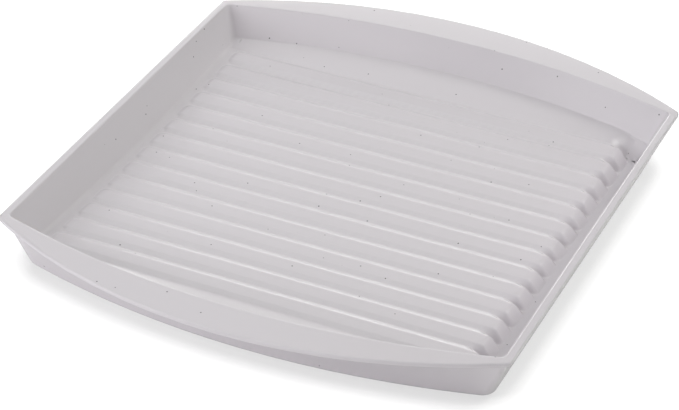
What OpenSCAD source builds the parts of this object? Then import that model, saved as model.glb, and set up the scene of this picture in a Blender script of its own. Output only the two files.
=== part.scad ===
// Microwave bacon tray, moulded in one piece.
// A shallow basin with flat sides left and right and bowed sides near and far.
// A flat rim grows into a curved handle on each bowed side. The floor is slightly dished and
// carries a row of long, low ribs. It falls away into a trough along the right wall, and the
// ribs' ends stand out over the trough as rounded noses.
// The origin is on the table under the middle of the tray. X runs along the ribs.

/* [Basin] */
// Inside width at the rim, along the ribs
basin_w = 250; // [220:1:290]
// Inside depth at the rim, from corner to corner
basin_d = 230; // [200:1:270]
// How far the near and far walls bow out in the middle
bow = 19.4; // [10:0.1:30]
// Overall height
height = 28.5; // [25:0.1:36]
// Lean of the walls from upright, in degrees
wall_lean = 18.7; // [12:0.1:24]
// Thickness of the walls
wall = 2.7; // [2:0.1:3.4]
// Radius of the basin's upright corners at the rim, inside
corner_r = 3; // [2:0.1:8]
// Radius of the basin's upright corners at the foot, inside
corner_low_r = 5; // [3:0.1:9]
// Radius where the walls turn into the trough's floor, inside
cove_r = 4.5; // [2:0.1:5.5]
// Radius along the bottom edge of the walls, outside
foot_r = 4.2; // [1:0.1:4.6]

/* [Rim and handles] */
// Width of the flat rim on the left and right sides
rim_w = 4; // [3.4:0.1:8]
// How far the rim stands out beyond the basin's corners, near and far
rim_corner = 3; // [2:0.1:8]
// How far each handle stands out beyond the basin's edge in the middle
handle_reach = 19.5; // [12:0.1:30]
// Thickness of the rim and handles
rim_t = 2.5; // [2:0.1:4]
// Radius along the outer edge of the rim, top and bottom
rim_edge_r = 0.9; // [0.3:0.05:1]
// Radius of the rim's outer corners, seen from above
rim_corner_r = 3; // [2:0.1:6]
// Radius of the rim's inner edge
brim_r = 0.8; // [0.3:0.05:1.5]

/* [Floor] */
// Height of the floor in the middle of the tray, at the bottom of the ribs
deck_h = 6.7; // [5.5:0.1:8]
// How much higher the floor lies at the outermost ribs than in the middle
dish = 2.3; // [0:0.1:3]
// Height at which the floor meets the near and far walls
ledge_h = 11.4; // [10.5:0.1:14]
// Radius where the floor meets the near and far walls
ledge_r = 1.2; // [0.5:0.1:2]
// Thickness of the floor, and of the trough's floor that stands on the table
floor_t = 2.3; // [1.8:0.1:2.8]
// Width of the trough's floor along the right wall
trough_w = 7.6; // [6:0.1:14]
// How far the ribs' ends slope on their way down into the trough
nose_run = 4; // [2:0.1:6]
// How far the floor falls away before it reaches the trough
fall_run = 9; // [6:0.5:14]
// Width of the ring that the tray stands on
foot_w = 4.2; // [2.6:0.1:5]

/* [Ribs] */
// Distance from rib to rib
rib_pitch = 14.88; // [14.4:0.01:17]
// Width of a rib's flat top
rib_w = 8.2; // [6:0.1:9]
// Height of the ribs above the floor
rib_rise = 0.95; // [0.6:0.05:1.6]
// Width of the flat between the feet of two ribs
groove_w = 0.5; // [0.3:0.1:3]
// Lean of the sides of the ribs' ends over the trough, in degrees
nose_side_lean = 18; // [8:0.5:20]
// Radius along a rib's top edges
crest_r = 1.6; // [0.4:0.1:4]
// Radius along the top edges where a rib ends over the trough
crest_nose_r = 2; // [0.6:0.1:2.4]
// Plain floor between the left wall and the ribs' ends
rib_start = 4; // [3:0.1:20]
// How far a rib's left end slopes
rib_end_run = 1.4; // [0.6:0.1:4]
// Least plain floor between the outermost ribs and the corners
rib_margin = 6; // [5:0.1:12]
// Thickness left around the hollow under each rib
rib_wall = 2; // [1.6:0.1:2.4]

/* [Hidden] */

// Segments of a bowed side, of an upright corner, of a small fillet, of the dished floor and
// of its fall into the trough
bow_n = 20;
corner_n = 5;
fillet_n = 4;
dish_n = 14;
fall_n = 5;

// Slope of the walls, sideways for each millimetre of height, and what a fillet needs on it
lean = tan(wall_lean);
slant = 1 / cos(wall_lean);

// The basin's edge at the rim, and the outer edge of the rim and handles
basin_apex = basin_d / 2 + bow;
basin_arc = arc_radius(basin_w / 2, bow);
rim_hx = basin_w / 2 + rim_w;
rim_apex = basin_apex + handle_reach;
rim_arc = arc_radius(rim_hx, rim_apex - basin_d / 2 - rim_corner);

// The row of ribs, and half the width of the floor that it covers
deck_half_d = basin_d / 2 - wall_in(deck_h);
rib_count = floor((2 * (deck_half_d - rib_margin) - rib_w) / rib_pitch) + 1;
last_rib = (rib_count - 1) / 2 * rib_pitch;
rib_rows = [for (k = [0:rib_count - 1]) k * rib_pitch - last_rib];
rows_half = last_rib + rib_pitch / 2;

// Where the ribs and the trough begin and end
rib_x = -(basin_w / 2 - wall_in(deck_h)) + rib_start;
rib_foot = (rib_pitch - groove_w) / 2;
wall_foot = basin_w / 2 - wall_in(floor_t);
nose_x = wall_foot - trough_w;
nose_lean = nose_run / (rib_top(last_rib) - floor_t);
nose_side = tan(nose_side_lean);
nose_reach = 2;
fall_x = nose_x - nose_reach - fall_run;

// Levels inside the trough's floor where the upper pieces end, and their depth in the walls
low = floor_t / 2;
fall_low = low + 0.3;
bed = wall * slant / 2;

// How far a cutter reaches past what it cuts
past = 1;

// Radius of an arc over a chord of half-length h that rises by s
function arc_radius(h, s) = (h * h + s * s) / (2 * s);

// How far the inner and the outer face of a wall lie inside the basin's edge, at height z
function wall_in(z) = lean * (height - z);
function wall_out(z) = wall_in(z) - wall * slant;

// Radius of the upright corners, inside, at height z
function corner_at(z) = corner_low_r + (corner_r - corner_low_r) * z / height;

// Inner face of the far wall, at x and at height z
function wall_y(x, z) = basin_apex - basin_arc + sqrt(pow(basin_arc - wall_in(z), 2) - x * x);

// Height of the dished floor at y, and of the top of the rib in row y
function floor_z(y) = deck_h + dish * pow(y / rows_half, 2);
function rib_top(y) = floor_z(y) + rib_rise;

// Closed outline with straight sides left and right and a bowed side near and far
function outline(hx, apex, arc, r) =
    let (
        middle = apex - arc,
        cx = hx - r,
        cy = middle + sqrt(pow(arc - r, 2) - cx * cx),
        turn = atan2(cy - middle, cx),
        half = concat(
            [for (i = [0:corner_n]) [cx, cy] + r * heading(turn * i / corner_n)],
            [for (i = [1:bow_n - 1]) [0, middle] + arc * heading(turn + (180 - 2 * turn) * i / bow_n)],
            [for (i = [0:corner_n]) [-cx, cy] + r * heading(180 - turn + turn * i / corner_n)]
        )
    )
    concat(half, -half);

function heading(a) = [cos(a), sin(a)];

// Rings of the basin's walls and of the rim, each moved inward by a distance, at height z
function basin_ring(inward, z, more_r = 0) = [
    for (p = outline(basin_w / 2 - inward, basin_apex - inward, basin_arc - inward, corner_at(z) + more_r))
        [p.x, p.y, z]
];
function rim_ring(inward, z) =
    [for (p = outline(rim_hx - inward, rim_apex - inward, rim_arc - inward, rim_corner_r)) [p.x, p.y, z]];

// Fillet rings from angle a to angle b, about a centre at distance inward and height z
function fillet_rings(inward, z, r, a, b) = [
    for (i = [0:fillet_n])
        let (t = a + (b - a) * i / fillet_n)
        basin_ring(inward + r * cos(t), z + r * sin(t))
];

// Solid through a stack of rings with equal numbers of points
module loft(rings) {
    n = len(rings[0]);
    last = len(rings) - 1;
    sides = [
        for (k = [0:last - 1], i = [0:n - 1])
            let (j = (i + 1) % n)
            [k * n + i, (k + 1) * n + i, (k + 1) * n + j, k * n + j]
    ];
    caps = [[for (i = [0:n - 1]) i], [for (i = [n - 1:-1:0]) last * n + i]];
    polyhedron([for (ring = rings) each ring], concat(sides, caps), convexity = 8);
}

// The walls, the rim with its two handles, and a floor at the level of the trough
module shell() {
    more_r = wall / 2;
    foot_in = wall_out(0) + foot_r * (slant - lean);
    rim_low = height - rim_t;
    brim_in = brim_r * (lean - slant);
    cove_z = floor_t + cove_r;
    cove_in = wall_in(cove_z) + cove_r * slant;
    loft(concat(
        [
            for (i = [0:fillet_n])
                let (t = 90 - (90 - wall_lean) * i / fillet_n)
                basin_ring(foot_in - foot_r * cos(t), foot_r * (1 - sin(t)), more_r)
        ],
        [basin_ring(wall_out(rim_low), rim_low, more_r)],
        [
            for (i = [0:fillet_n])
                let (t = 90 * i / fillet_n)
                rim_ring(rim_edge_r * (1 - sin(t)), rim_low + rim_edge_r * (1 - cos(t)))
        ],
        [
            for (i = [0:fillet_n])
                let (t = 90 * i / fillet_n)
                rim_ring(rim_edge_r * (1 - cos(t)), height - rim_edge_r * (1 - sin(t)))
        ],
        fillet_rings(brim_in, height - brim_r, brim_r, 90, wall_lean),
        fillet_rings(cove_in, cove_z, cove_r, 180 + wall_lean, 270)
    ));
}

// How far the floor has fallen at x, from 0 on the ribbed floor to 1 in the trough
function fallen(x) = 1 - cos(90 * min(max((x - fall_x) / fall_run, 0), 1));

// Height of the floor at x, where it stands at z on the ribbed part
function floor_at(x, z) = z + (fall_low - z) * fallen(x);

// One side of the floor at x: out of the wall, round its foot and down the bank to the ribs
function bank(x, side) =
    let (
        edge = wall_y(x, ledge_h),
        foot = floor_at(x, floor_z(rows_half)),
        slope = (ledge_h - foot) / (edge - rows_half),
        top = ledge_h + ledge_r,
        in_wall = 0.1
    )
    [
        [side * (wall_y(x, top) + 2 * bed), top],
        [side * (wall_y(x, top) + in_wall), top],
        [side * (edge - ledge_r * 0.25), ledge_h + ledge_r * 0.25],
        [side * (edge - ledge_r), ledge_h - ledge_r * slope]
    ];

// Cross-section of the floor at x, lowered by a drop and closed at height bottom
function floor_ring(x, drop, bottom) =
    let (
        far_bank = bank(x, 1),
        near_bank = bank(x, -1),
        dished = [
            for (i = [0:dish_n])
                let (y = rows_half * (1 - 2 * i / dish_n))
                [y, floor_at(x, floor_z(y))]
        ],
        top = concat(far_bank, dished, [for (i = [len(near_bank) - 1:-1:0]) near_bank[i]])
    )
    concat(
        [[x, top[0].x, bottom]],
        [for (p = top) [x, p.x, p.y - drop]],
        [[x, -top[0].x, bottom]]
    );

// Places along the floor where its cross-section is taken
function floor_steps() =
    let (end = basin_w / 2 - wall_in(ledge_h) + 2 * bed)
    concat(
        [for (i = [0:bow_n - 2]) -end + (fall_x + end) * i / (bow_n - 1)],
        [for (i = [0:fall_n]) fall_x + fall_run * i / fall_n],
        [(fall_x + fall_run + end) / 2, end]
    );

// The dished floor that carries the ribs, with its fall into the trough, bedded in the walls
module deck() {
    top = ledge_h + 2 * ledge_r;
    intersection() {
        loft([basin_ring(wall_in(low) - bed, low), basin_ring(wall_in(top) - bed, top)]);
        loft([for (x = floor_steps()) floor_ring(x, 0, low)]);
    }
}

// One rounded top edge of a rib at x, on the far side or the near side, with that side's lean
function crest(x, y, z, half, r, side, lean_deg) =
    let (c = half + r * (tan(lean_deg) - 1 / cos(lean_deg)))
    [
        for (i = [0:fillet_n])
            let (t = lean_deg + (90 - lean_deg) * (side > 0 ? i : fillet_n - i) / fillet_n)
            [x, y + side * (c + r * cos(t)), z - r + r * sin(t)]
    ];

// Cross-section of a rib on the floor, with its top at z and its feet just under the floor
function rib_ring(x, y, z, half, r) =
    let (
        low_half = rib_w / 2 + nose_side * (rib_top(y) - low),
        sunk = 0.05,
        far_z = floor_z(y + rib_foot) - sunk,
        near_z = floor_z(y - rib_foot) - sunk,
        reach = rib_foot - rib_w / 2
    )
    concat(
        [[x, y + low_half, low], [x, y + rib_foot, far_z]],
        crest(x, y, z, half, r, 1, atan(reach / (rib_top(y) - far_z))),
        crest(x, y, z, half, r, -1, atan(reach / (rib_top(y) - near_z))),
        [[x, y - rib_foot, near_z], [x, y - low_half, low]]
    );

// Cross-section of a rib's end over the trough, with steep sides down to the trough's floor
function nose_ring(x, y, z, half, r) =
    let (mid = (z + low) / 2)
    concat(
        [[x, y + half + nose_side * (z - low), low], [x, y + half + nose_side * (z - mid), mid]],
        crest(x, y, z, half, r, 1, nose_side_lean),
        crest(x, y, z, half, r, -1, nose_side_lean),
        [[x, y - half - nose_side * (z - mid), mid], [x, y - half - nose_side * (z - low), low]]
    );

// One rib: a long low bar that slopes up at its left end and dips into the trough at its right
module rib(y) {
    half = rib_w / 2;
    top = rib_top(y);
    end_r = 0.4;
    nose_turn = atan(1 / nose_lean);
    round_r = 2.5;
    bend = round_r * tan(nose_turn / 2);
    end_top = nose_x - nose_lean * (top - floor_t);
    loft(concat(
        [
            rib_ring(rib_x, y, floor_z(y) - 0.1, half - 0.8, end_r),
            rib_ring(rib_x + rib_end_run, y, top - 0.12, half - 0.1, end_r),
            rib_ring(rib_x + 1.7 * rib_end_run, y, top, half, crest_r),
            rib_ring(fall_x, y, top, half, crest_r)
        ],
        [
            for (i = [0:fillet_n])
                let (
                    t = nose_turn * i / fillet_n,
                    drop = round_r * (1 - cos(t)),
                    x = end_top - bend + round_r * sin(t)
                )
                nose_ring(x, y, top - drop, half - drop * 0.25, crest_nose_r)
        ],
        [nose_ring(nose_x + nose_lean * (floor_t - low - 0.4), y, low + 0.4, half - 1.2, 0.2)]
    ));
}

// Hollow under one rib, open below, that keeps the rib's wall even
module rib_hollow(y) {
    top = rib_top(y) - floor_t;
    half = rib_w / 2 - rib_wall;
    left = rib_x + rib_wall;
    right = nose_x - nose_lean * (top - floor_t) - floor_t;
    spread = nose_side * (top + past);
    loft([
        for (x = [left, right])
            let (run = x == right ? nose_lean * (top + past) : 0)
            [
                [x + run, y + half + spread, -past],
                [x, y + half, top],
                [x, y - half, top],
                [x + run, y - half - spread, -past]
            ]
    ]);
}

// Clears the space under the floor, so that it is as thin as the trough's
module underside() {
    inward = wall_out(0) + foot_w + foot_r * (slant - lean) / 2;
    back = floor_t * 0.7;
    intersection() {
        translate([0, 0, -past])
            linear_extrude(height)
                polygon(outline(basin_w / 2 - inward, basin_apex - inward, basin_arc - inward, corner_low_r));
        translate([-back, 0, 0])
            loft([for (x = floor_steps()) floor_ring(x, floor_t, -floor_t - past)]);
    }
}

module tray() {
    color("whitesmoke")
        difference() {
            union() {
                shell();
                deck();
                for (y = rib_rows) rib(y);
            }
            underside();
            for (y = rib_rows) rib_hollow(y);
        }
}

tray();
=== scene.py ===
import math
import bpy
import numpy as np
from mathutils import Matrix, Vector


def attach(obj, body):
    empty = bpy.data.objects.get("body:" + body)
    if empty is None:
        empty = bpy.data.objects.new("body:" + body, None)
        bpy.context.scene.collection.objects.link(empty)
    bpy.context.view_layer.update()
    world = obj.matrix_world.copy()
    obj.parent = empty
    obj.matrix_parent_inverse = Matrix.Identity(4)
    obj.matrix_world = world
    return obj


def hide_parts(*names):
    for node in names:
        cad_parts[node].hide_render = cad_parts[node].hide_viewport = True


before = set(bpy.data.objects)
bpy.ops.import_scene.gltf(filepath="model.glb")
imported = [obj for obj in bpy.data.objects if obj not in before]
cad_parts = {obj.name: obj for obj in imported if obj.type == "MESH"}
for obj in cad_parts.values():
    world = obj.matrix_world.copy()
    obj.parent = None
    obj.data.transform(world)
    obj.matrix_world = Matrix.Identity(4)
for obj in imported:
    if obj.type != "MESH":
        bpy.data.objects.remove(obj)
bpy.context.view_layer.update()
scene = bpy.context.scene


# Camera. The photograph looks down over the near handle, from a little to the right, with a
# long lens. The place and the turn were fitted to the rim and the ribs; lengths are metres.
IMAGE_W = 679
FOCAL_PX = 2549.3
CAMERA_PLACE = Vector((0.41204, -0.96645, 0.69364))
CAMERA_AZIMUTH = math.radians(23.38)
CAMERA_ELEVATION = math.radians(33.31)
CAMERA_ROLL = math.radians(1.84)


def make_camera():
    data = bpy.data.cameras.new("camera")
    data.sensor_width = 36
    data.lens = FOCAL_PX * data.sensor_width / IMAGE_W
    data.clip_start = 0.05
    data.clip_end = 20
    camera = bpy.data.objects.new("camera", data)
    scene.collection.objects.link(camera)
    turn = (
        Matrix.Rotation(CAMERA_AZIMUTH, 4, "Z")
        @ Matrix.Rotation(math.pi / 2 - CAMERA_ELEVATION, 4, "X")
        @ Matrix.Rotation(CAMERA_ROLL, 4, "Z")
    )
    camera.matrix_world = Matrix.Translation(CAMERA_PLACE) @ turn
    scene.camera = camera


make_camera()


# Tray. Basin, rim with two curved handles, ribbed draining floor and trough are moulded in one
# piece, in polypropylene with a wall of 2 to 3 mm. It is drawn as one closed skin: floor, walls,
# rim, outside and underside. Sizes are millimetres until the mesh is made.

# The basin inside at the rim, how far its near and far walls bow out, and the lean of the walls
# in degrees. Its upright corners are rounder at the foot than at the rim.
BASIN_W, BASIN_D, BOW = 250.0, 230.0, 19.4
HEIGHT, WALL, WALL_LEAN = 28.5, 2.7, 18.7
CORNER_R, CORNER_LOW_R = 3.0, 5.0
LEAN = math.tan(math.radians(WALL_LEAN))
SLANT = 1 / math.cos(math.radians(WALL_LEAN))

# The rim, and how far the handles stand out beyond the bowed walls.
RIM_W, RIM_T, HANDLE_REACH = 4.0, 2.5, 19.5
RIM_CORNER_R, RIM_EDGE_R = 3.0, 0.9

# Fillets: floor to wall in the trough, along the left wall and on the banks, the rim's inner
# edge, and the foot outside.
COVE_R, SIDE_COVE_R, LEDGE_R, BRIM_R, FOOT_R = 4.5, 2.2, 1.1, 0.8, 4.2

# The floor between the ribs, its rise towards the near and far walls, and the height where its
# banks meet those walls. FLOOR_T is its thickness, and also the height of the trough's floor.
DECK_H, DISH, LEDGE_H, FLOOR_T = 6.7, 2.3, 11.4, 2.3

# The trough, the run over which the floor falls to it, and the noses of the ribs over it. The
# fall ends FALL_GAP before the trough, and aims FALL_PAST below it so that the two blend flat.
TROUGH_W, FALL_RUN, FALL_GAP, FALL_PAST = 7.6, 9.0, 2.0, 0.4
NOSE_RUN, NOSE_FALL = 4.0, 5.0

# The ribs: width of the flat top, rise above the floor, and half the width at the foot. Their
# left ends start RIB_START from the wall, sunk a little into the floor, and rise over START_RUN in
# a slightly bowed slope.
RIB_COUNT, RIB_PITCH, RIB_W, RIB_RISE, RIB_FOOT = 14, 14.88, 8.2, 0.95, 7.19
RIB_START, START_RUN, START_BEND, START_SINK = 4.0, 3.4, 1.3, 1.05

# Towards the left end the grooves grow deeper by LEFT_DIP. Half the width of a rib's top goes
# from TOP_MORE above half of RIB_W at the right to TOP_LESS below that at the left.
LEFT_DIP, TOP_MORE, TOP_LESS = 0.3, 0.1, 0.5

# How softly creases turn: rib edges, their edges by the mouths, the noses, and then the blends
# of rib and groove, of the hollows below, and of the floor with the trough.
EDGE_SOFT, MOUTH_SOFT, NOSE_SOFT = 0.2, 0.25, 0.5
GROOVE_BLEND, HOLLOW_BLEND, TROUGH_BLEND = 0.25, 0.4, 0.8

# The underside: the wall left around each hollow, how far the fall lies to the right of the one
# above, the ring that the tray stands on, and the step from it to the edge of the hollow part.
RIB_WALL, UNDER_SHIFT, STAND_W, STAND_STEP = 2.0, 1.6, 4.2, 0.6

# The outermost ribs reach at most RIB_MARGIN past the last line midway between two ribs.
RIB_MARGIN = 3.0


def arc_radius(half, rise):
    return (half * half + rise * rise) / (2 * rise)


def wall_in(z):
    """How far the wall's inner face stands in from the rim at height z."""
    return LEAN * (HEIGHT - z)


BASIN_APEX = BASIN_D / 2 + BOW
BASIN_ARC = arc_radius(BASIN_W / 2, BOW)
RIM_HX = BASIN_W / 2 + RIM_W
RIM_APEX = BASIN_APEX + HANDLE_REACH
RIM_ARC = arc_radius(RIM_HX, RIM_APEX - BASIN_D / 2 - RIM_CORNER_R)
RIBS_HALF = RIB_COUNT * RIB_PITCH / 2
NOSE_X = BASIN_W / 2 - wall_in(FLOOR_T) - TROUGH_W
FALL_X = NOSE_X - FALL_GAP - FALL_RUN
RIB_X = -(BASIN_W / 2 - wall_in(DECK_H)) + RIB_START

# The net that the skin is drawn on. Its rows run along the ribs and its columns across them, and
# they lie closest where the relief turns: by a rib's edges, its left end and its nose.
RIB_LINES = np.array([0, 1.8, 3.2, 3.6, 3.85, 4.1, 4.35, 4.6, 5.0, 5.7, 6.4, 7.0])
START_LINES = np.array([-2, -1.6, -1.2, -0.8, -0.4, 0, 0.25, 0.5, 0.8, 1.1, 1.4, 1.8, 2.3, 3.2, 5])
NOSE_STEP = 0.45
STRIP_N = 4
CORNER_N = 5
EXTRA_N = STRIP_N + CORNER_N
FILLET_N = 6
FOOT_N = 8


def net_rows():
    """The same lines over every rib, with one more midway between ribs."""
    rib = np.concatenate([[-RIB_PITCH / 2], -RIB_LINES[:0:-1], RIB_LINES])
    middles = (np.arange(RIB_COUNT) - (RIB_COUNT - 1) / 2) * RIB_PITCH
    return np.append((middles[:, None] + rib).ravel(), RIBS_HALF)


def net_columns():
    """Close steps at the left ends and the noses, wide ones between, and a few over the trough."""
    along = np.linspace(RIB_X + 14, FALL_X - 8, 14)
    noses = np.arange(FALL_X - 2, NOSE_X + 1, NOSE_STEP)
    trough = np.linspace(NOSE_X + 1.2, NOSE_X + 3.9, 6)
    return np.concatenate([RIB_X + START_LINES, along, noses, trough])


ROWS = net_rows()
COLUMNS = net_columns()
ROW_N = len(ROWS) + 2 * EXTRA_N
COLUMN_N = len(COLUMNS) + 2


def smooth_max(a, b, blend):
    """The greater of two heights, rounded over where they cross."""
    h = np.clip(0.5 + 0.5 * (a - b) / blend, 0, 1)
    return b + (a - b) * h + blend * h * (1 - h)


def softened(a, soft):
    """Nought below nought, a itself above, with a soft turn between."""
    return soft * np.log1p(np.exp(np.clip(a / soft, -40, 40)))


def left_share(x):
    return np.clip((FALL_X - x) / (FALL_X - RIB_X), 0, 1)


def plain_floor(x, y):
    """The floor without its ribs: dished, with a bank near and far, falling to the trough."""
    y = np.abs(y)
    deck = DECK_H + DISH * np.minimum(y / RIBS_HALF, 1) ** 2 - LEFT_DIP * left_share(x)
    fallen = 1 - np.cos(math.pi / 2 * np.clip((x - FALL_X) / FALL_RUN, 0, 1))
    deck = deck + (FLOOR_T - FALL_PAST - deck) * fallen
    wall_y = BASIN_APEX - BASIN_ARC + np.sqrt((BASIN_ARC - wall_in(LEDGE_H)) ** 2 - x * x)
    bank = np.clip((y - RIBS_HALF) / (wall_y - RIBS_HALF), 0, 1)
    return smooth_max(deck + (LEDGE_H - deck) * bank, FLOOR_T, TROUGH_BLEND)


def ribs(x, y, inside=0.0):
    """The ribs alone: a top that follows the dish, less its sides, its nose and its left end."""
    number = np.clip(np.round(y / RIB_PITCH - 0.5), -RIB_COUNT / 2, RIB_COUNT / 2 - 1)
    middle = (number + 0.5) * RIB_PITCH
    tilt = 2 * DISH * middle / RIBS_HALF ** 2
    top = DECK_H + DISH * (middle / RIBS_HALF) ** 2 + RIB_RISE
    top = top + tilt * np.clip(y - middle, -RIB_W / 2, RIB_W / 2)
    over = np.clip((x - FALL_X) / (NOSE_X - FALL_X), 0, 1)
    half = RIB_W / 2 + TOP_MORE - TOP_LESS * left_share(x)
    slope = (top - plain_floor(x, y)) / (RIB_FOOT - half)
    side = softened(np.abs(y - middle) - half + inside, EDGE_SOFT + MOUTH_SOFT * over) * slope
    nose = softened(x - (NOSE_X - NOSE_RUN) + inside, NOSE_SOFT) * (top - FLOOR_T) / NOSE_FALL
    ramp = np.clip((RIB_X + START_RUN + inside - x) / START_RUN, 0, 2) ** START_BEND
    return top - np.hypot(side, nose) - ramp * (RIB_RISE + LEFT_DIP) * START_SINK


def floor_height(x, y):
    plain = plain_floor(x, y)
    ribbed = smooth_max(plain, ribs(x, y), GROOVE_BLEND)
    return np.where(np.abs(y) < RIBS_HALF + RIB_MARGIN, ribbed, plain)


def under_height(x, y):
    plain = plain_floor(x - UNDER_SHIFT, y)
    hollow = smooth_max(plain, ribs(x, y, RIB_WALL), HOLLOW_BLEND)
    return np.maximum(np.where(np.abs(y) < RIBS_HALF, hollow, plain) - FLOOR_T, 0)


# Where each line of the net meets the wall, on one turn round the tray: first up the right wall,
# with a plain strip and half a corner at each end, then along the far wall, and so on. A line has
# its kind, its value, and its signs in X and Y. BOW_REACH is the X that stands for the bow's end.
BOW_REACH = 114.4


def wall_lines():
    strip = [("strip", (i + 1) / STRIP_N) for i in range(STRIP_N)]
    corner = [("corner", (i + 1) / (2 * CORNER_N)) for i in range(2 * CORNER_N)]
    side_end, turn = strip + corner[:CORNER_N], corner[CORNER_N:]
    right = [(*line, 1, -1) for line in side_end[::-1]]
    right += [("row", abs(y), 1, -1 if y < 0 else 1) for y in ROWS]
    right += [(*line, 1, 1) for line in side_end]
    bow = COLUMNS[::-1][CORNER_N:-CORNER_N]
    far = [(*line, 1, 1) for line in turn]
    far += [("bow", abs(x) / BOW_REACH, -1 if x < 0 else 1, 1) for x in bow]
    far += [(*line, -1, 1) for line in turn[::-1]]
    left = [(kind, value, -sx, sy) for kind, value, sx, sy in right[::-1]]
    near = [(kind, value, sx, -sy) for kind, value, sx, sy in far[::-1]]
    return right + far + left + near


LINES = wall_lines()
KIND = np.array([line[0] for line in LINES])
VALUE = np.array([line[1] for line in LINES])
SIDE_X = np.array([line[2] for line in LINES])
SIDE_Y = np.array([line[3] for line in LINES])


def ring(z, inward, corner, half_x=BASIN_W / 2, apex=BASIN_APEX, arc=BASIN_ARC, spread=1.0):
    """One turn round the tray at height z, moved inward from the given outline."""
    hx, arc, middle = half_x - inward, arc - inward, apex - arc
    cx = hx - corner
    cy = middle + np.sqrt((arc - corner) ** 2 - cx * cx)
    turn = np.arctan2(cy - middle, cx)
    rows_end = RIBS_HALF * spread
    straight = np.where(KIND == "row", VALUE * spread, rows_end + VALUE * (cy - rows_end))
    bow_x = VALUE * (cx + corner * np.cos(turn))
    bow_y = middle + np.sqrt(arc ** 2 - np.minimum(bow_x, arc) ** 2)
    on_corner, on_bow = KIND == "corner", KIND == "bow"
    x = np.where(on_corner, cx + corner * np.cos(turn * VALUE), np.where(on_bow, bow_x, hx))
    y = np.where(on_corner, cy + corner * np.sin(turn * VALUE), np.where(on_bow, bow_y, straight))
    return np.stack([x * SIDE_X, y * SIDE_Y, z + 0 * x], axis=1)


def rim_ring(z, inward):
    return ring(z, inward, RIM_CORNER_R, RIM_HX, RIM_APEX, RIM_ARC)


def corner_at(z):
    return CORNER_LOW_R + (CORNER_R - CORNER_LOW_R) * z / HEIGHT


# The floor's own edge, where the fillet to the wall begins. Its height depends on its place and
# its place on its height, so it is found in small steps from a first guess. Over COVE_FADE above
# the trough the fillet shrinks from the trough's to the banks'.
EDGE_GUESS, EDGE_STEPS, EDGE_SHARE = 9.0, 40, 0.4
COVE_FADE = 4.0


def floor_edge():
    z = np.full(len(LINES), EDGE_GUESS)
    for _ in range(EDGE_STEPS):
        low = np.clip(1 - (z - FLOOR_T) / COVE_FADE, 0, 1)
        radius = LEDGE_R + (COVE_R - LEDGE_R) * low
        radius = np.where((SIDE_X < 0) & (KIND != "bow"), SIDE_COVE_R, radius)
        inward = wall_in(z + radius) + radius * SLANT
        place = ring(z, inward, corner_at(z))
        z = z + EDGE_SHARE * (floor_height(place[:, 0], place[:, 1]) - z)
    return z, inward, radius


# The rows draw together a little on the way down outside and under the tray, where its outline
# is smaller.
RIM_SPREAD, FOOT_SPREAD, UNDER_SPREAD = 0.995, 0.96, 0.93


def skin_rings():
    """All turns round the tray, from the floor's edge over the rim to the underside's edge."""
    lean = math.radians(WALL_LEAN)
    z, inward, radius = floor_edge()
    rings = [
        ring(z + radius * (1 + math.sin(a)), inward + radius * math.cos(a), corner_at(z))
        for a in np.linspace(1.5 * math.pi, math.pi + lean, FILLET_N)
    ]
    for a in np.linspace(lean, math.pi / 2, FILLET_N):
        brim_z = HEIGHT - BRIM_R * (1 - math.sin(a))
        rings.append(ring(brim_z, BRIM_R * (LEAN - SLANT + math.cos(a)), corner_at(brim_z)))
    rim_low = HEIGHT - RIM_T
    turns = [(1 - math.sin(a), 1 - math.cos(a)) for a in np.linspace(math.pi / 2, 0, FILLET_N)]
    rings += [rim_ring(HEIGHT - RIM_EDGE_R * s, RIM_EDGE_R * c) for s, c in turns]
    rings += [rim_ring(rim_low + RIM_EDGE_R * c, RIM_EDGE_R * s) for s, c in turns]
    out_in, out_corner = wall_in(rim_low) - WALL * SLANT, corner_at(rim_low) + WALL / 2
    rings.append(ring(rim_low, out_in, out_corner, spread=RIM_SPREAD))
    foot_in = wall_in(0) - WALL * SLANT + FOOT_R * (SLANT - LEAN)
    for a in np.linspace(lean, math.pi / 2, FOOT_N):
        foot_z = FOOT_R * (1 - math.sin(a))
        foot_corner = corner_at(foot_z) + WALL / 2
        rings.append(ring(foot_z, foot_in - FOOT_R * math.cos(a), foot_corner, spread=FOOT_SPREAD))
    stand_in = wall_in(0) - WALL * SLANT + STAND_W + FOOT_R * (SLANT - LEAN) / 2
    rings.append(ring(0, stand_in, CORNER_LOW_R, spread=UNDER_SPREAD))
    edge = ring(0, stand_in + STAND_STEP, CORNER_LOW_R, spread=UNDER_SPREAD)
    edge[:, 2] = under_height(edge[:, 0], edge[:, 1])
    return rings + [edge]


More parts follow.
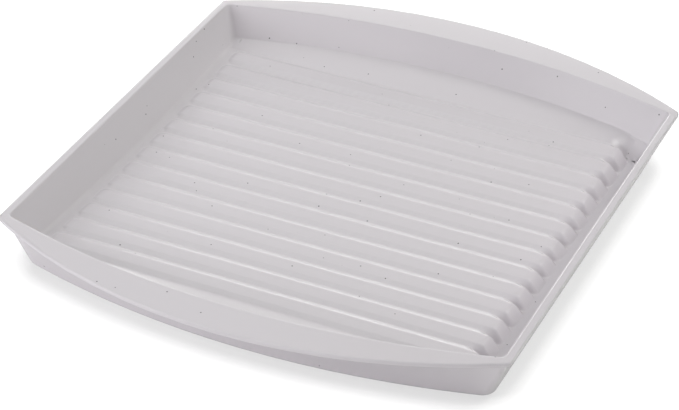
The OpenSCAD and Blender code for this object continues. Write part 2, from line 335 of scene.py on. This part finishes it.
def patch(edge, columns, rows, height):
    """Fills a ring with the net's rows and columns, each point at its height."""
    far_end = ROW_N + COLUMN_N - 2
    points = np.zeros((ROW_N, COLUMN_N, 3))
    points[:, -1] = edge[:ROW_N]
    points[-1, 1:-1] = edge[ROW_N:far_end][::-1]
    points[:, 0] = edge[far_end:far_end + ROW_N][::-1]
    points[0, 1:-1] = edge[far_end + ROW_N:]
    inner = slice(EXTRA_N, ROW_N - EXTRA_N)
    points[inner, 1:-1, 0] = columns
    points[inner, 1:-1, 1] = rows[:, None]
    # Beyond the last rib, rows and columns bend from straight to the bowed wall.
    last, first = ROW_N - 1, ROW_N - 1 - EXTRA_N
    left, right, low, high = points[:, 0], points[:, -1], points[first], points[last]
    across = ((low[:, 0] - low[0, 0]) / (low[-1, 0] - low[0, 0]))[:, None]
    for row in range(first + 1, last):
        up = (left[row, 1] - left[first, 1]) / (left[last, 1] - left[first, 1])
        at_left = left[row] - (1 - up) * left[first] - up * left[last]
        at_right = right[row] - (1 - up) * right[first] - up * right[last]
        full = (1 - up) * low + up * high + (1 - across) * at_left + across * at_right
        points[row, 1:-1] = full[1:-1]
        points[last - row, 1:-1] = full[1:-1] * (1, -1, 1)
    points[1:-1, 1:-1, 2] = height(points[1:-1, 1:-1, 0], points[1:-1, 1:-1, 1])
    return points


def tray_mesh():
    """The two filled patches, with the rings between them joined by bands of quads, in metres."""
    rings = skin_rings()
    floor = patch(rings[0], COLUMNS, ROWS, floor_height)
    under = patch(rings[-1], COLUMNS * UNDER_SPREAD, ROWS * UNDER_SPREAD, under_height)
    between = rings[1:-1]
    points = np.concatenate([floor.reshape(-1, 3), under.reshape(-1, 3), *between]) / 1000
    number = np.arange(ROW_N * COLUMN_N).reshape(ROW_N, COLUMN_N)
    size = number.size
    quads = [number[:-1, :-1], number[:-1, 1:], number[1:, 1:], number[1:, :-1]]
    quads = np.stack(quads, axis=-1).reshape(-1, 4)
    faces = [quads, quads[:, ::-1] + size]
    sides = [number[:, -1], number[-1, -2:0:-1], number[::-1, 0], number[0, 1:-1]]
    loops = [np.concatenate(sides)]
    loops += [2 * size + i * len(LINES) + np.arange(len(LINES)) for i in range(len(between))]
    loops += [size + loops[0]]
    for inner, outer in zip(loops, loops[1:]):
        faces.append(np.stack([inner, outer, np.roll(outer, -1), np.roll(inner, -1)], axis=1))
    mesh = bpy.data.meshes.new("tray_skin")
    mesh.from_pydata(points.tolist(), [], np.concatenate(faces).tolist())
    mesh.shade_smooth()
    return mesh


# The material is injection-moulded polypropylene, off-white, with dark mineral flecks mixed
# through it. To the eye it is satin, with a soft sheen along its edges, and here and there a
# speck no larger than a grain of pepper. The mould's own grain is finer than 0.1 mm, and is drawn
# at 0.6 mm so that it shows.
PLASTIC = "#dfdbdf"
FLECK = "#5d5a5f"
FLECK_SPACING_MM = 8.0
FLECK_RADIUS_MM = 0.45
FLECK_CORE = 0.6
GRAIN_MM = 0.6


def linear(hex_colour):
    parts = [int(hex_colour[i:i + 2], 16) / 255 for i in (1, 3, 5)]
    return [p / 12.92 if p <= 0.04045 else ((p + 0.055) / 1.055) ** 2.4 for p in parts] + [1]


def add_node(tree, kind, settings=None, **inputs):
    """Adds a node with its settings. Each input takes a value or a link, by name or as _number."""
    node = tree.nodes.new(kind)
    for name, value in (settings or {}).items():
        setattr(node, name, value)
    for name, value in inputs.items():
        key = int(name[1:]) if name[1:].isdigit() else name.replace("_", " ")
        if isinstance(value, bpy.types.NodeSocket):
            tree.links.new(value, node.inputs[key])
        else:
            node.inputs[key].default_value = value
    return node


def speckled_plastic():
    material = bpy.data.materials.new("moulded polypropylene, speckled")
    material.use_nodes = True
    tree = material.node_tree
    tree.nodes.clear()
    place = add_node(tree, "ShaderNodeTexCoord").outputs["Object"]
    cells = add_node(tree, "ShaderNodeTexVoronoi", Vector=place, Scale=1000 / FLECK_SPACING_MM)
    reach = FLECK_RADIUS_MM / FLECK_SPACING_MM
    fleck = add_node(
        tree, "ShaderNodeMapRange", Value=cells.outputs["Distance"],
        From_Min=reach * FLECK_CORE, From_Max=reach, To_Min=1.0, To_Max=0.0,
    )
    colour = add_node(
        tree, "ShaderNodeMix", {"data_type": "RGBA"},
        _0=fleck.outputs[0], _6=linear(PLASTIC), _7=linear(FLECK),
    )
    grain = add_node(tree, "ShaderNodeTexNoise", Vector=place, Scale=1000 / GRAIN_MM, Detail=2.0)
    bump = add_node(
        tree, "ShaderNodeBump", Height=grain.outputs[0], Strength=0.04, Distance=0.0002,
    )
    shader = add_node(
        tree, "ShaderNodeBsdfPrincipled",
        Base_Color=colour.outputs[2], Roughness=0.22, IOR=1.49, Normal=bump.outputs[0],
    )
    add_node(tree, "ShaderNodeOutputMaterial", Surface=shader.outputs[0])
    return material


def make_tray():
    piece = bpy.data.objects.new("tray_skin", tray_mesh())
    scene.collection.objects.link(piece)
    piece.modifiers.new("even shading", "WEIGHTED_NORMAL")
    piece.data.materials.append(speckled_plastic())
    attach(piece, "root")
    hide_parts("tray")


make_tray()


# Floor. A plain white paper sweep that the tray stands on. The tray is lit by it as by white
# paper. To the camera it is a darker paper with a glow of its own, white in the open. Close
# round the tray's foot ambient occlusion dims that glow, which paints a soft shadow there on
# top of the paper's own shadow.
FLOOR_HALF = 6.0
PAPER = "#f5f5f5"
PAPER_SEEN = "#949494"
OPEN_GLOW = 0.9
SHADOW_GLOW = 0.59
SHADOW_REACH = 0.018
SHADOW_DEEP, SHADOW_END = 0.5, 0.82


def make_floor():
    mesh = bpy.data.meshes.new("floor")
    corners = [(x * FLOOR_HALF, y * FLOOR_HALF, 0) for x, y in ((-1, -1), (1, -1), (1, 1), (-1, 1))]
    mesh.from_pydata(corners, [], [(0, 1, 2, 3)])
    floor = bpy.data.objects.new("floor", mesh)
    scene.collection.objects.link(floor)
    material = bpy.data.materials.new("white paper sweep with painted shadow")
    material.use_nodes = True
    tree = material.node_tree
    tree.nodes.clear()
    seen = add_node(tree, "ShaderNodeLightPath").outputs["Is Camera Ray"]
    colour = add_node(
        tree, "ShaderNodeMix", {"data_type": "RGBA"},
        _0=seen, _6=linear(PAPER), _7=linear(PAPER_SEEN),
    )
    paper = add_node(tree, "ShaderNodeBsdfDiffuse", Color=colour.outputs[2])
    # Painted shadow: ambient occlusion dims the camera's glow close round the tray.
    open_air = add_node(
        tree, "ShaderNodeAmbientOcclusion", {"samples": 16}, Distance=SHADOW_REACH,
    )
    glow_dimmed_as_painted_shadow = add_node(
        tree, "ShaderNodeMapRange", Value=open_air.outputs["AO"],
        From_Min=SHADOW_DEEP, From_Max=SHADOW_END, To_Min=SHADOW_GLOW, To_Max=OPEN_GLOW,
    )
    camera_glow_with_painted_shadow = add_node(
        tree, "ShaderNodeMath", {"operation": "MULTIPLY"}, _0=seen, _1=glow_dimmed_as_painted_shadow.outputs[0],
    )
    glow = add_node(tree, "ShaderNodeEmission", Color=(1, 1, 1, 1), Strength=camera_glow_with_painted_shadow.outputs[0])
    both = add_node(tree, "ShaderNodeAddShader", _0=paper.outputs[0], _1=glow.outputs[0])
    add_node(tree, "ShaderNodeOutputMaterial", Surface=both.outputs[0])
    mesh.materials.append(material)


make_floor()


# Studio light. Large softboxes stand round the table, 1.6 m from the tray. Each has the way it
# lies from the tray and its height above the table, both in degrees, then its power in watts and
# its tint, all but white.
LAMP_DISTANCE = 1.6
LAMP_SIZE = 0.9
LAMPS = [
    (113, 8, 10.64, "#fffffe"),
    (225, 20, 9.29, "#feffff"),
    (45, 45, 9.07, "#fefffb"),
    (180, 68, 4.8, "#fefffe"),
    (30, 60, 4.58, "#fffffb"),
    (270, 20, 4.15, "#fffafd"),
    (0, 20, 2.19, "#fbfffa"),
    (260, 8, 2.08, "#fcfaff"),
    (225, 45, 1.04, "#fcfffb"),
    (135, 45, 1.23, "#f4f4ff"),
    (113, 33, 0.74, "#fff3fc"),
]


def make_lamp(azimuth, height, power, tint):
    data = bpy.data.lights.new("softbox", "AREA")
    data.shape = "SQUARE"
    data.size = LAMP_SIZE
    data.energy = power
    data.color = linear(tint)[:3]
    lamp = bpy.data.objects.new(f"softbox_{azimuth}_{height}", data)
    scene.collection.objects.link(lamp)
    a, h = math.radians(azimuth), math.radians(height)
    away = Vector((math.cos(a) * math.cos(h), math.sin(a) * math.cos(h), math.sin(h)))
    lamp.location = away * LAMP_DISTANCE
    lamp.rotation_euler = away.to_track_quat("Z", "Y").to_euler()


for lamp in LAMPS:
    make_lamp(*lamp)


# World. A white backdrop behind everything, for the camera alone. It gives the tray no light:
# the softboxes and the paper give all of it.
def make_world():
    world = bpy.data.worlds.new("white backdrop")
    world.use_nodes = True
    tree = world.node_tree
    tree.nodes.clear()
    seen = add_node(tree, "ShaderNodeLightPath").outputs["Is Camera Ray"]
    white = add_node(tree, "ShaderNodeBackground", Color=(1, 1, 1, 1), Strength=seen)
    add_node(tree, "ShaderNodeOutputWorld", Surface=white.outputs[0])
    scene.world = world


make_world()
scene.view_settings.view_transform = "Standard"
